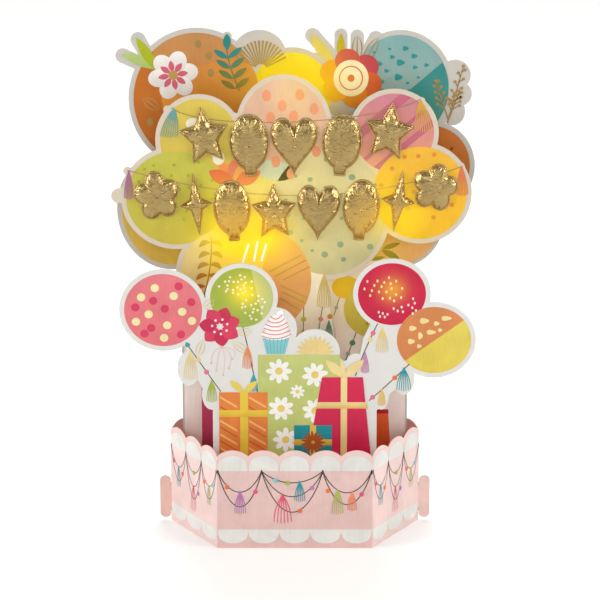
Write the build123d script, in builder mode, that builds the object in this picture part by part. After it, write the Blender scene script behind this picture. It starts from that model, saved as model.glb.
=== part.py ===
"""A light-up pop up card: a folded six-sided base with four upright die-cut sheets standing in it.

Frame: +Z is up, the front faces -Y and +X is to the right as seen from the front. The origin is on the table,
in the middle of the front panel's bottom edge. All sizes are in millimetres.
"""

import os
from math import atan2, cos, degrees, radians, sin, tan

from build123d import *

os.makedirs("parts", exist_ok=True)

# Card stock and gaps
card = 0.4
foot_gap = 1.0
slit_clearance = 0.4
seat_gap = 0.3

# Base sleeve
panel_width = 68.0
front_scallops = 5
side_scallops = 3
side_turn = 58.5
valley_height = 43.0
scallop_rise = 2.8
glue_flap_width = 9.0

# Spaces from sheet to sheet, measured between their middles
cloud_gap = 10.3
scene_gap = 12.0

# Stems and locking tabs
rear_stem_width = 100.0
cloud_stem_left = -34.0
cloud_stem_right = 18.0
scene_stem_width = 72.0
tab_bottom = 1.3
tab_height = 19.8
tab_reach = 5.2
tab_corner_radius = 2.2
neck_height = 13.4

# Die-cut border that is left around each printed shape
border = 2.1

# Balloons of each sheet: centre x, centre z, half width, half height
rear_balloons = [
    (-42.4, 195.3, 27.5, 29.5),
    (-1.2, 198.4, 17.3, 17.8),
    (45.6, 200.2, 21.2, 23.6),
    (59.9, 165.2, 16.6, 18.1),
    (-53.8, 145.7, 21.9, 25.5),
    (45.3, 140.6, 18.0, 19.6),
]
cloud_balloons = [
    (-41.3, 179.7, 16.9, 18.3),
    (-4.6, 184.1, 19.0, 22.7),
    (42.9, 182.8, 17.3, 17.6),
    (54.4, 155.9, 20.4, 20.8),
    (-51.6, 153.6, 21.7, 21.0),
    (14.5, 147.3, 25.2, 28.5),
    (-30.1, 119.9, 19.7, 19.7),
    (-16.1, 116.3, 23.4, 24.3),
]
scene_balloons = [
    (-57.3, 106.3, 17.0, 16.5),
    (-23.1, 112.0, 13.7, 13.5),
    (42.3, 113.6, 14.8, 14.1),
    (60.8, 92.6, 16.2, 15.2),
]

# Rounded fingers of card behind leaves: root x, root z, tip x, tip z, width
rear_fingers = [
    (-60.0, 208.0, -67.6, 221.8, 6.4),
    (-60.0, 208.0, -74.2, 214.6, 6.4),
    (-28.5, 212.0, -29.2, 223.2, 4.0),
    (17.0, 213.0, 7.8, 223.6, 6.4),
    (20.0, 215.0, 20.0, 223.8, 5.6),
    (27.0, 214.0, 27.0, 223.2, 5.8),
    (30.0, 213.0, 35.0, 222.4, 6.2),
]
cloud_fingers = [
    (-50.0, 190.0, -54.8, 193.2, 3.6),
    (50.0, 190.0, 54.4, 196.8, 4.0),
    (-70.0, 164.5, -72.5, 165.8, 3.6),
    (-70.0, 156.0, -76.4, 154.6, 6.6),
    (69.0, 164.0, 71.8, 167.6, 4.0),
    (69.0, 158.0, 73.2, 156.4, 6.0),
]

# Round bumps of card behind a fan, a gilt branch, a cupcake and tassels: x, z, half width, half height
rear_bumps = [
    (-15.4, 214.0, 12.0, 12.0),
    (69.4, 206.0, 6.8, 6.8),
    (71.4, 197.6, 5.4, 5.4),
    (68.8, 189.8, 5.2, 6.2),
]
scene_bumps = [
    (-8.2, 97.5, 9.2, 10.0),
    (8.9, 86.1, 11.0, 11.5),
    (26.8, 82.2, 4.2, 4.2),
    (-46.4, 79.5, 4.9, 8.0),
    (-36.5, 67.6, 4.2, 7.2),
    (47.8, 75.6, 4.7, 8.2),
    (38.0, 67.4, 3.4, 7.0),
]

# Ground of each sheet between its balloons, as corner points x, z
rear_ground = [
    (-54.0, 146.0),
    (-60.0, 170.0),
    (-42.0, 195.0),
    (-15.0, 214.0),
    (10.0, 216.0),
    (38.0, 218.0),
    (70.0, 200.0),
    (60.0, 165.0),
    (45.0, 140.0),
]
cloud_ground = [
    (-52.0, 154.0),
    (-48.0, 172.0),
    (-41.0, 180.0),
    (-26.0, 192.0),
    (-5.0, 185.0),
    (27.0, 191.0),
    (43.0, 183.0),
    (54.0, 156.0),
    (30.0, 130.0),
    (-16.0, 105.0),
]
scene_ground = [
    (-36.0, 62.0),
    (-44.0, 77.0),
    (-48.0, 90.0),
    (-36.0, 104.0),
    (-23.0, 112.0),
    (-8.0, 98.0),
    (9.0, 90.0),
    (21.6, 82.9),
    (28.2, 84.6),
    (30.2, 94.0),
    (36.0, 106.0),
    (58.0, 92.0),
    (51.5, 77.0),
    (41.0, 67.0),
    (36.0, 60.0),
]
rear_stem_top = 148.0
cloud_stem_top = 112.0
cloud_stem_shoulder = [(14.0, 125.0), (17.0, 103.0), (18.0, 92.0)]

# Puffed foil pieces: kind, centre x, centre z, half width, half height, tilt in degrees
foil_rise = 3.4
foil_edge = 1.3
foil_edge_inset = 1.1
foil_corner_radius = 0.9
foil_pieces = [
    ("star", -38.9, 181.0, 11.6, 14.0, 8),
    ("balloon", -19.6, 177.4, 8.8, 14.0, 3),
    ("heart", -0.2, 176.6, 10.4, 13.2, 0),
    ("balloon", 20.4, 177.6, 8.8, 14.0, -4),
    ("star", 40.6, 183.0, 11.6, 14.0, -8),
    ("flower", -59.8, 154.6, 10.4, 11.4, 10),
    ("sparkle", -42.8, 150.8, 7.4, 14.4, 6),
    ("balloon", -27.2, 148.0, 8.2, 13.8, 4),
    ("star", -8.9, 147.0, 10.6, 13.4, 2),
    ("heart", 10.4, 146.8, 9.6, 12.8, -2),
    ("balloon", 28.8, 148.4, 8.2, 13.8, -4),
    ("sparkle", 45.0, 152.4, 7.6, 14.4, -8),
    ("flower", 61.0, 158.4, 10.2, 11.0, -12),
]

# Folded spacers: name, x of the flap's fold, bottom, height, side that the middle fold points to
spacer_flap = 8.0
spacer_bow = 4.0
back_spacer_bow = 14.0
scene_spacers = [("scene_spacer_left", -22.0, 6.0, 28.0, -1), ("scene_spacer_right", 22.0, 6.0, 28.0, 1)]
cloud_spacers = [("cloud_spacer_left", -22.0, 6.0, 60.0, -1), ("cloud_spacer_right", 8.0, 6.0, 60.0, 1)]
rear_spacers = [("rear_spacer_left", -24.0, 6.0, 60.0, -1), ("rear_spacer_right", 8.0, 6.0, 60.0, 1)]
back_spacers = [("back_spacer_left", -22.0, 6.0, 32.0, -1), ("back_spacer_right", 22.0, 6.0, 32.0, 1)]
upper_spacer_bottom = 160.0
upper_spacer_height = 26.0
upper_spacer_left_x = -40.0
upper_spacer_hole_gap = 0.5

# Press switch behind the printed disc of the rear cloud
press_x = 24.4
press_z = 204.7
press_travel = 0.5
button_radius = 4.0
button_flange_radius = 5.4
button_flange = 0.8
button_clearance = 0.15
switch_size = 6.0
switch_height = 2.0
actuator_radius = 1.75
actuator_clearance = 0.05

# Light and sound module on the back of the rear cloud
module_height = 44.0
module_wall = 1.2
module_cover = 1.0
module_depth = 8.5
module_corner = 3.0
press_above_middle = 13.0
board_height = 20.0
board_thickness = 0.8
board_gap = 4.0
speaker_radius = 13.0
speaker_depth = 4.5
cell_radius = 5.8
cell_depth = 5.4
cell_pitch = 12.2
cell_speaker_gap = 5.0
board_speaker_gap = 0.7
contact_thickness = 0.3
wire_hole_radius = 3.0
wire_hole_right = 3.0
wire_hole_below = 6.5
chip_end_gap = 4.5
chip_above = 4.0
chip_radius = 3.6
chip_height = 1.4
chip_rounding = 0.84
sound_hole_radius = 0.9
speaker_rim = 1.95
speaker_dish = 1.5
cell_rim = 0.87
cell_cap_depth = 1.35
switch_floor = 0.4

# Small lights behind the front cloud and behind the front scene: x, z
cloud_lights = [(2.3, 197.0), (-19.4, 134.5), (45.7, 140.5)]
scene_lights = [(-22.4, 114.0), (42.3, 116.5)]
light_board = 6.0
light_board_thickness = 0.6
light_lens = 3.2
light_lens_depth = 1.0
wire_radius = 0.45
wire_gap = 0.45
wire_hole_clearance = 0.9
wire_bend = 2.0
wire_pads = [(-1.3, 1.3), (-1.6, -0.5), (1.5, -1.0), (0.0, -1.6)]
wire_dip_left = 15.0
wire_dip_below = 12.0
wire_side_gap = 4.0
wire_side_drop = 8.0
wire_side_run = 30.0

# Worked out from the sizes above
scallop_pitch = panel_width / front_scallops
side_length = side_scallops * scallop_pitch
side_x = side_length * cos(radians(side_turn))
middle_y = side_length * sin(radians(side_turn))
half_span = panel_width / 2 + side_x
rear_y = middle_y
cloud_y = rear_y - cloud_gap
scene_y = cloud_y - scene_gap
peak_height = valley_height + scallop_rise
rear_back = rear_y + card / 2
base_corners = [
    (-panel_width / 2, 0),
    (panel_width / 2, 0),
    (half_span, middle_y),
    (panel_width / 2, 2 * middle_y),
    (-panel_width / 2, 2 * middle_y),
    (-half_span, middle_y),
]
panel_scallops = [front_scallops, side_scallops, side_scallops] * 2


def upright(y):
    """Plane facing the front at depth y, with its own x along +X and its own y along +Z."""
    return Plane.XZ.offset(-y)


def keep(piece, name):
    """Label a finished piece and write it out."""
    piece.part.label = name
    export_step(piece.part, f"parts/{name}.step")


def ovals(places, margin=0.0):
    """Add an ellipse for each centre and pair of half sizes, grown by a margin."""
    for x, z, half_width, half_height in places:
        with Locations((x, z)):
            Ellipse(half_width + margin, half_height + margin)


def fingers(places):
    """Add a round-ended strip from each root to each tip."""
    for root_x, root_z, tip_x, tip_z, width in places:
        run = Vector(tip_x - root_x, tip_z - root_z)
        angle = degrees(atan2(run.Y, run.X))
        with Locations(((root_x + tip_x) / 2, (root_z + tip_z) / 2)):
            SlotCenterToCenter(run.length, width, rotation=angle)


def strip(left, right, bottom, top):
    """Add an upright rectangle between two sides, a bottom and a top."""
    with Locations(((left + right) / 2, (bottom + top) / 2)):
        Rectangle(right - left, top - bottom)


# Base sleeve: one strip of card folded into six panels, scalloped along the top, glued along an inside flap
with BuildPart() as base_sleeve:
    with BuildSketch():
        hexagon = Polygon(*base_corners)
        offset(hexagon, amount=card / 2, kind=Kind.INTERSECTION, mode=Mode.REPLACE)
        offset(hexagon, amount=-card / 2, kind=Kind.INTERSECTION, mode=Mode.SUBTRACT)
    extrude(amount=peak_height)
    for i, count in enumerate(panel_scallops):
        start = Vector(*base_corners[i])
        along = (Vector(*base_corners[(i + 1) % 6]) - start).normalized()
        with BuildSketch(Plane(origin=start, x_dir=along, z_dir=along.cross(Vector(0, 0, 1)))):
            with BuildLine():
                for n in range(count):
                    ThreePointArc(
                        (n * scallop_pitch, valley_height),
                        ((n + 0.5) * scallop_pitch, peak_height),
                        ((n + 1) * scallop_pitch, valley_height),
                    )
                end = count * scallop_pitch
                Polyline(
                    (end, valley_height),
                    (end + card, valley_height),
                    (end + card, peak_height + card),
                    (-card, peak_height + card),
                    (-card, valley_height),
                    (0, valley_height),
                )
            make_face()
        extrude(amount=card, both=True, mode=Mode.SUBTRACT)
    for side in (-1, 1):
        with BuildSketch(Plane.YZ.offset(side * half_span)):
            with Locations((middle_y, tab_bottom + tab_height / 2)):
                Rectangle(card + 2 * slit_clearance, neck_height + 2 * slit_clearance)
        extrude(amount=2 * card, both=True, mode=Mode.SUBTRACT)
    flap_start = Vector(*base_corners[4])
    flap_along = (Vector(*base_corners[5]) - flap_start).normalized()
    flap_in = Vector(0, 0, 1).cross(flap_along)
    with BuildSketch(Plane(origin=flap_start, x_dir=flap_along, z_dir=(0, 0, 1)).offset(foot_gap)):
        strip(card, glue_flap_width, card / 2, 1.5 * card)
    extrude(amount=valley_height - 2 * foot_gap)
keep(base_sleeve, "base_sleeve")


# Module places on the back of the rear cloud, used by the sheets' holes too
module_width = 2 * (module_wall + seat_gap + speaker_radius + cell_radius + cell_pitch) + cell_speaker_gap
board_width = module_width - 2 * (module_wall + seat_gap + speaker_radius) - board_speaker_gap
module_x = press_x
module_z = press_z - press_above_middle
board_x = module_x + module_width / 2 - module_wall - seat_gap - board_width / 2
board_z = module_z + module_height / 2 - module_wall - seat_gap - board_height / 2
hole_x = board_x + wire_hole_right
hole_z = board_z - wire_hole_below
through_x, through_z = scene_lights[0]
low_x, low_z = scene_lights[1]
low_wire_z = low_z - light_board / 4
wire_way = wire_radius + wire_hole_clearance


# Rear cloud: the rearmost printed sheet, with the wide stem and the two locking tabs
with BuildPart() as rear_cloud:
    with BuildSketch(upright(rear_back)):
        ovals(rear_balloons, border)
        ovals(rear_bumps)
        fingers(rear_fingers)
        Polygon(*rear_ground)
        strip(-rear_stem_width / 2, rear_stem_width / 2, foot_gap, rear_stem_top)
        tab_middle = tab_bottom + tab_height / 2
        with Locations((0, tab_middle)):
            Rectangle(2 * (half_span + tab_reach / 2), neck_height)
        for side in (-1, 1):
            tab_in = half_span + card / 2 + seat_gap
            tab_out = half_span + tab_reach
            with Locations((side * (tab_in + tab_out) / 2, tab_middle)):
                RectangleRounded(tab_out - tab_in, tab_height, tab_corner_radius)
        with Locations((hole_x, hole_z)):
            Circle(wire_hole_radius, mode=Mode.SUBTRACT)
        with Locations((low_x, low_wire_z)):
            Circle(wire_way, mode=Mode.SUBTRACT)
    extrude(amount=card)
keep(rear_cloud, "rear_cloud")


# Front cloud: the printed sheet that carries the foil pieces
with BuildPart() as front_cloud:
    with BuildSketch(upright(cloud_y + card / 2)):
        ovals(cloud_balloons, border)
        fingers(cloud_fingers)
        Polygon(*cloud_ground)
        Polygon((cloud_stem_left, cloud_stem_top), *cloud_stem_shoulder, (cloud_stem_left, foot_gap))
        strip(cloud_stem_left, cloud_stem_right, foot_gap, cloud_stem_shoulder[-1][1])
        with Locations((through_x, through_z)):
            Circle(wire_way, mode=Mode.SUBTRACT)
    extrude(amount=card)
keep(front_cloud, "front_cloud")


# Front scene: gifts, cupcake and four balloons on one white sheet
with BuildPart() as front_scene:
    with BuildSketch(upright(scene_y + card / 2)):
        ovals(scene_balloons, border)
        ovals(scene_bumps)
        Polygon(*scene_ground)
        strip(-scene_stem_width / 2, scene_stem_width / 2, foot_gap, scene_ground[0][1])
    extrude(amount=card)
keep(front_scene, "front_scene")


def star(half_width, half_height):
    """Add a five-pointed star, stretched to its half sizes."""
    points = []
    for n in range(10):
        reach = 1.0 if n % 2 == 0 else 0.52
        turn = radians(90 + 36 * n)
        points.append((half_width * reach * cos(turn), half_height * reach * sin(turn)))
    Polygon(*points)


def heart(half_width, half_height):
    """Add a heart: two round lobes over a point."""
    lobe = half_width / 2
    shoulder = half_height - 1.1 * lobe
    with Locations((-lobe, shoulder), (lobe, shoulder)):
        Ellipse(lobe, 1.1 * lobe)
    hip_x = 0.93 * half_width
    hip_z = shoulder - 0.4 * lobe
    Polygon((-hip_x, hip_z), (0, -half_height), (hip_x, hip_z))
    Polygon((-lobe, shoulder), (-hip_x, hip_z), (hip_x, hip_z), (lobe, shoulder))


def balloon(half_width, half_height):
    """Add an upright balloon: a tall oval on a small knot."""
    knot = 0.3 * half_width
    with Locations((0, knot / 2)):
        Ellipse(half_width, half_height - knot / 2)
    Polygon((-knot, -half_height), (knot, -half_height), (0, -half_height + 3 * knot))


def flower(half_width, half_height):
    """Add a five-petalled flower."""
    petal = 0.42 * half_width
    with PolarLocations(half_height - petal, 5, start_angle=90):
        Circle(petal)
    Circle(0.6 * half_width)


def sparkle(half_width, half_height):
    """Add a four-pointed star with hollow sides."""
    waist = 0.36 * half_width
    Polygon(
        (0, half_height),
        (-waist, waist),
        (-half_width, 0),
        (-waist, -waist),
        (0, -half_height),
        (waist, -waist),
        (half_width, 0),
        (waist, waist),
    )


# Foil pieces: each is drawn flat with rounded corners, raised straight and then drawn in to a flat front
foil_shapes = {"star": star, "heart": heart, "balloon": balloon, "flower": flower, "sparkle": sparkle}


def foil_outline(kind, half_width, half_height, share=1.0):
    """Draw a foil shape with rounded corners, at a share of its full size."""
    foil_shapes[kind](half_width * share, half_height * share)
    fillet(vertices(), foil_corner_radius * share)


foil_counts = {}
for kind, x, z, half_width, half_height, tilt in foil_pieces:
    foil_counts[kind] = foil_counts.get(kind, 0) + 1
    front = cloud_y - card / 2
    with BuildPart() as foil:
        level = (cos(radians(tilt)), 0, sin(radians(tilt)))
        flat = Plane(origin=(x, front, z), x_dir=level, z_dir=(0, -1, 0))
        with BuildSketch(flat):
            foil_outline(kind, half_width, half_height)
        extrude(amount=foil_rise - foil_edge)
        with BuildSketch(flat.offset(foil_rise - foil_edge)):
            foil_outline(kind, half_width, half_height)
        with BuildSketch(flat.offset(foil_rise)):
            foil_outline(kind, half_width, half_height, 1 - foil_edge_inset / half_width)
        loft()
    keep(foil, f"foil_{kind}_{foil_counts[kind]}")


def spacer(name, x, bottom, height, side, front_y, back_y, bow):
    """Make a folded strip: a flap on each of two sheets, and two legs that meet in a middle fold."""
    middle = (front_y + back_y) / 2
    with BuildPart() as folded:
        with BuildSketch(Plane.XY.offset(bottom)):
            with BuildLine():
                Polyline(
                    (x - side * spacer_flap, front_y),
                    (x, front_y),
                    (x + side * bow, middle),
                    (x, back_y),
                    (x - side * spacer_flap, back_y),
                )
                offset(amount=card, side=Side.LEFT if side > 0 else Side.RIGHT, kind=Kind.INTERSECTION)
            make_face()
        extrude(amount=height)
    keep(folded, name)


# Spacers that hold the sheets apart and fold flat with the card
for name, x, bottom, height, side in scene_spacers:
    spacer(name, x, bottom, height, side, card / 2, scene_y - card / 2, spacer_bow)
for name, x, bottom, height, side in cloud_spacers:
    spacer(name, x, bottom, height, side, scene_y + card / 2, cloud_y - card / 2, spacer_bow)
upper_spacer_right_x = hole_x + wire_hole_radius + upper_spacer_hole_gap + spacer_flap
upper_spacers = [
    ("upper_spacer_left", upper_spacer_left_x, upper_spacer_bottom, upper_spacer_height, -1),
    ("upper_spacer_right", upper_spacer_right_x, upper_spacer_bottom, upper_spacer_height, 1),
]
for name, x, bottom, height, side in rear_spacers + upper_spacers:
    spacer(name, x, bottom, height, side, cloud_y + card / 2, rear_y - card / 2, spacer_bow)
for name, x, bottom, height, side in back_spacers:
    spacer(name, x, bottom, height, side, rear_back, 2 * middle_y - card / 2, back_spacer_bow)


# Module cover: the flat plate that is glued to the rear cloud, with the button's hole and the wires' hole
cover_back = rear_back + module_cover
with BuildPart() as cover_plate:
    with BuildSketch(upright(cover_back)):
        with Locations((module_x, module_z)):
            RectangleRounded(module_width, module_height, module_corner)
        with Locations((press_x, press_z)):
            Circle(button_radius + button_clearance, mode=Mode.SUBTRACT)
        with Locations((hole_x, hole_z)):
            Circle(wire_hole_radius, mode=Mode.SUBTRACT)
    extrude(amount=module_cover)
keep(cover_plate, "module_cover")


# Module tray: the back shell, with posts under the board and a ring of sound holes
module_back = rear_back + module_depth
tray_floor = module_back - module_wall
board_front = rear_back + board_gap + module_cover
board_back = board_front + board_thickness
speaker_x = module_x - module_width / 2 + module_wall + seat_gap + speaker_radius
speaker_z = module_z - module_height / 2 + module_wall + seat_gap + speaker_radius
cell_z = module_z - module_height / 2 + module_wall + seat_gap + cell_radius
cell_x = module_x + module_width / 2 - module_wall - seat_gap - cell_radius - cell_pitch
with BuildPart() as module_tray:
    with BuildSketch(upright(module_back)):
        with Locations((module_x, module_z)):
            RectangleRounded(module_width, module_height, module_corner)
    extrude(amount=module_depth - module_cover)
    with BuildSketch(upright(tray_floor)):
        with Locations((module_x, module_z)):
            RectangleRounded(
                module_width - 2 * module_wall, module_height - 2 * module_wall, module_corner - module_wall
            )
    extrude(amount=module_depth - module_cover, mode=Mode.SUBTRACT)
    with BuildSketch(upright(tray_floor)):
        with Locations((board_x, board_z)):
            with GridLocations(board_width - 2 * module_corner, board_height - 2 * module_corner, 2, 2):
                Circle(module_wall)
    extrude(amount=tray_floor - board_back)
    with BuildSketch(upright(module_back)):
        with Locations((speaker_x, speaker_z)):
            Circle(sound_hole_radius)
            with PolarLocations(speaker_radius / 3, 6):
                Circle(sound_hole_radius)
            with PolarLocations(speaker_radius * 2 / 3, 12):
                Circle(sound_hole_radius)
    extrude(amount=module_wall, mode=Mode.SUBTRACT)
    exit_plane = Plane.YZ.offset(module_x + module_width / 2)
    with BuildSketch(exit_plane):
        with Locations(((board_front + board_back) / 2, board_z)):
            Circle(wire_way)
    extrude(amount=-2 * module_wall, mode=Mode.SUBTRACT)
keep(module_tray, "module_tray")


# Circuit board with its sound chip under a round drop of resin
with BuildPart() as circuit_board:
    with BuildSketch(upright(board_back)):
        with Locations((board_x, board_z)):
            RectangleRounded(board_width, board_height, module_corner - module_wall)
    extrude(amount=board_thickness)
keep(circuit_board, "circuit_board")

with BuildPart() as sound_chip:
    with BuildSketch(upright(board_front)):
        with Locations((board_x + board_width / 2 - chip_end_gap - chip_radius, board_z + chip_above)):
            Circle(chip_radius)
    extrude(amount=chip_height)
    fillet(sound_chip.faces().sort_by(Axis.Y)[0].edges(), chip_rounding)
keep(sound_chip, "sound_chip")


# Speaker: a round can with a dished cone, seated on the tray's floor over the sound holes
with BuildPart() as speaker:
    with BuildSketch(upright(tray_floor)):
        with Locations((speaker_x, speaker_z)):
            Circle(speaker_radius)
    extrude(amount=speaker_depth)
    with BuildSketch(upright(tray_floor)):
        with Locations((speaker_x, speaker_z)):
            Circle(speaker_radius - speaker_rim)
    extrude(amount=speaker_dish, mode=Mode.SUBTRACT)
keep(speaker, "speaker")


# Three button cells in a row between a flat back contact and a sprung front contact
for n in range(3):
    with BuildPart() as cell:
        with BuildSketch(upright(tray_floor - contact_thickness)):
            with Locations((cell_x + (n - 1) * cell_pitch, cell_z)):
                Circle(cell_radius)
        extrude(amount=cell_depth - cell_cap_depth)
        with BuildSketch(upright(tray_floor - contact_thickness - cell_depth + cell_cap_depth)):
            with Locations((cell_x + (n - 1) * cell_pitch, cell_z)):
                Circle(cell_radius - cell_rim)
        extrude(amount=cell_cap_depth)
    keep(cell, f"button_cell_{n + 1}")

cell_front = tray_floor - contact_thickness - cell_depth
for name, back_y in (("back_contact", tray_floor), ("front_contact", cell_front)):
    with BuildPart() as contact:
        with BuildSketch(upright(back_y)):
            with Locations((cell_x, cell_z)):
                Rectangle(2 * cell_pitch + cell_radius, cell_radius)
        extrude(amount=contact_thickness)
    keep(contact, name)


# Press switch: the body stands on the board, the actuator slides in it and the button rests on the actuator
bore_depth = switch_height - switch_floor
actuator_back = board_front - switch_height + bore_depth - press_travel - actuator_clearance
switch_front = board_front - switch_height
button_back = cover_back + seat_gap + button_flange
with BuildPart() as switch_body:
    with BuildSketch(upright(board_front)):
        with Locations((press_x, press_z)):
            Rectangle(switch_size, switch_size)
    extrude(amount=switch_height)
    with BuildSketch(upright(switch_front + bore_depth)):
        with Locations((press_x, press_z)):
            Circle(actuator_radius + actuator_clearance)
    extrude(amount=bore_depth, mode=Mode.SUBTRACT)
keep(switch_body, "switch_body")

with BuildPart() as switch_actuator:
    with BuildSketch(upright(actuator_back)):
        with Locations((press_x, press_z)):
            Circle(actuator_radius)
    extrude(amount=actuator_back - button_back)
keep(switch_actuator, "switch_actuator")

with BuildPart() as press_button:
    with BuildSketch(upright(button_back)):
        with Locations((press_x, press_z)):
            Circle(button_flange_radius)
    extrude(amount=button_flange)
    with BuildSketch(upright(button_back)):
        with Locations((press_x, press_z)):
            Circle(button_radius)
    extrude(amount=button_back - rear_back - seat_gap / 2)
keep(press_button, "press_button")


# Small lights: a square board with a lens that touches the back of the printed sheet
lights = [(x, z, cloud_y + card / 2) for x, z in cloud_lights]
lights += [(x, z, scene_y + card / 2) for x, z in scene_lights]
light_backs = []
for n, (x, z, lens_front) in enumerate(lights):
    light_back = lens_front + light_lens_depth + light_board_thickness
    light_backs.append(light_back)
    with BuildPart() as light:
        with BuildSketch(upright(light_back)):
            with Locations((x, z)):
                Rectangle(light_board, light_board)
        extrude(amount=light_board_thickness)
        with BuildSketch(upright(light_back - light_board_thickness)):
            with Locations((x, z)):
                Rectangle(light_lens, light_lens)
        extrude(amount=light_lens_depth)
    keep(light, f"light_{n + 1}")


def wire(name, points, tight=()):
    """Sweep a wire along straight runs, joined by the largest arcs that fit, or by small ones where told."""
    points = [Vector(*point) for point in points]
    radii = []
    for before, corner, after in zip(points, points[1:], points[2:]):
        shorter = min((corner - before).length, (after - corner).length)
        turn = (corner - before).get_angle(after - corner)
        largest = 0.45 * shorter / tan(radians(turn / 2))
        radii.append(min(largest, wire_bend) if len(radii) in tight else largest)
    with BuildPart() as run:
        with BuildLine() as route:
            FilletPolyline(*points, radius=radii)
        with BuildSketch(Plane(origin=route.line @ 0, z_dir=route.line % 0)):
            Circle(wire_radius)
        sweep(path=route.wires()[0])
    keep(run, name)


# Wires: four leave through the hole in the cover and run between the clouds, each at its own depth
for n in range(4):
    light_x, light_z, _ = lights[n]
    pad_x = hole_x + wire_pads[n][0]
    pad_z = hole_z + wire_pads[n][1]
    wire_y = (cloud_y + rear_y) / 2 + (n - 1.5) * (2 * wire_radius + wire_gap)
    start = [(pad_x, board_front, pad_z), (pad_x, wire_y, pad_z)]
    dip = [(pad_x - wire_dip_left, wire_y, pad_z - wire_dip_below)] if n == 0 else []
    end = [(light_x, wire_y, light_z), (light_x, light_backs[n], light_z)]
    wire(f"light_wire_{n + 1}", start + dip + end)

# The fifth wire leaves at the side of the tray and goes down the back of the rear cloud to the lowest light
wire_out_x = module_x + module_width / 2 + wire_side_gap
behind_y = rear_back + wire_radius + wire_hole_clearance
wire(
    "light_wire_5",
    [
        (board_x + board_width / 2, (board_front + board_back) / 2, board_z),
        (wire_out_x, (board_front + board_back) / 2, board_z),
        (wire_out_x, behind_y, board_z - wire_side_drop),
        (wire_out_x - wire_bend, behind_y, board_z - wire_side_drop - wire_side_run),
        (low_x, behind_y, low_wire_z),
        (low_x, light_backs[4], low_wire_z),
    ],
    tight=(3,),
)
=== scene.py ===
import bmesh
import bpy
import numpy as np
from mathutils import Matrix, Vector


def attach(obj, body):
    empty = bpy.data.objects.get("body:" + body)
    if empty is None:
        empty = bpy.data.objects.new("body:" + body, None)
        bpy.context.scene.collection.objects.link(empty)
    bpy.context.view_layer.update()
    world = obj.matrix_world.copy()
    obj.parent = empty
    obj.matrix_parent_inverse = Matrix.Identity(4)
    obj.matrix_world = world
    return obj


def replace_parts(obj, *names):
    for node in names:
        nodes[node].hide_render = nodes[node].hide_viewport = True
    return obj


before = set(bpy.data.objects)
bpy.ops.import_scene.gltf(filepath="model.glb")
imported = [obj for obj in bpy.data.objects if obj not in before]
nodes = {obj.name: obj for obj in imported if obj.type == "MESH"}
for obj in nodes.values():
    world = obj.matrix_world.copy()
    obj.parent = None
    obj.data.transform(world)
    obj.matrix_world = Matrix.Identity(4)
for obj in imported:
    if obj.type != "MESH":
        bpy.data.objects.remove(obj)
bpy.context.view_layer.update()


# Base sleeve
# One strip of coated card, scored and folded into six panels with a scalloped top edge.
# It is printed outside with icing scallops and a garland, and plain coral inside.
def linear(colour):
    """Turn an sRGB hex colour to linear: c / 12.92 when dark, else ((c + 0.055) / 1.055) to the power 2.4."""
    c = np.array([int(colour[i:i + 2], 16) for i in (1, 3, 5)]) / 255
    return np.where(c <= 0.04045, c / 12.92, ((c + 0.055) / 1.055) ** 2.4)


def add(material, kind, inputs=None, **settings):
    """Add a shader node, with its settings, and link or set each input."""
    made = material.node_tree.nodes.new(kind)
    for key, value in settings.items():
        setattr(made, key, value)
    for key, value in (inputs or {}).items():
        if isinstance(value, bpy.types.NodeSocket):
            material.node_tree.links.new(value, made.inputs[key])
        else:
            made.inputs[key].default_value = value
    return made


def new_material(name):
    """Start a material with one surface shader and the object's own coordinates."""
    material = bpy.data.materials.new(name)
    material.use_nodes = True
    material.node_tree.nodes.clear()
    shader = add(material, "ShaderNodeBsdfPrincipled")
    add(material, "ShaderNodeOutputMaterial", {"Surface": shader.outputs[0]})
    return material, shader, add(material, "ShaderNodeTexCoord").outputs["Object"]


def join(material, output, shader, key):
    """Link an output to one of the shader's inputs."""
    material.node_tree.links.new(output, shader.inputs[key])


def coat(piece, *materials):
    """Give a piece these materials and no others."""
    piece.data.materials.clear()
    for material in materials:
        piece.data.materials.append(material)


def tooth(material, place, shader, grain_mm, height_mm):
    """Bump from fine noise: grains of that width, raised by that height. Real grain is too fine to show, so
    this is drawn coarser."""
    grain = add(material, "ShaderNodeTexNoise", {"Vector": place, "Scale": 1000 / grain_mm, "Detail": 3})
    bump = add(material, "ShaderNodeBump",
               {"Height": grain.outputs[0], "Strength": 1, "Distance": height_mm / 1000})
    join(material, bump.outputs[0], shader, "Normal")


def times(material, a, b):
    """Product of two numbers or outputs."""
    return add(material, "ShaderNodeMath", {0: a, 1: b}, operation="MULTIPLY").outputs[0]


def lamp_glow(material, place, lamps):
    """Sum over the lamps: strength exp(-(d / reach)^2), with d the distance to the lamp across the card."""
    total = None
    for x, z, reach, strength in lamps:
        flat = add(material, "ShaderNodeVectorMath", {0: place, 1: (1000, 0, 1000)}, operation="MULTIPLY")
        gap = add(material, "ShaderNodeVectorMath", {0: flat.outputs[0], 1: (x, 0, z)}, operation="DISTANCE")
        share = add(material, "ShaderNodeMath", {0: gap.outputs["Value"], 1: reach}, operation="DIVIDE")
        minus = times(material, times(material, share.outputs[0], share.outputs[0]), -1.0)
        fall = add(material, "ShaderNodeMath", {0: minus}, operation="EXPONENT")
        part = times(material, fall.outputs[0], strength)
        total = part if total is None else add(material, "ShaderNodeMath", {0: total, 1: part},
                                               operation="ADD", use_clamp=True).outputs[0]
    return total


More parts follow.
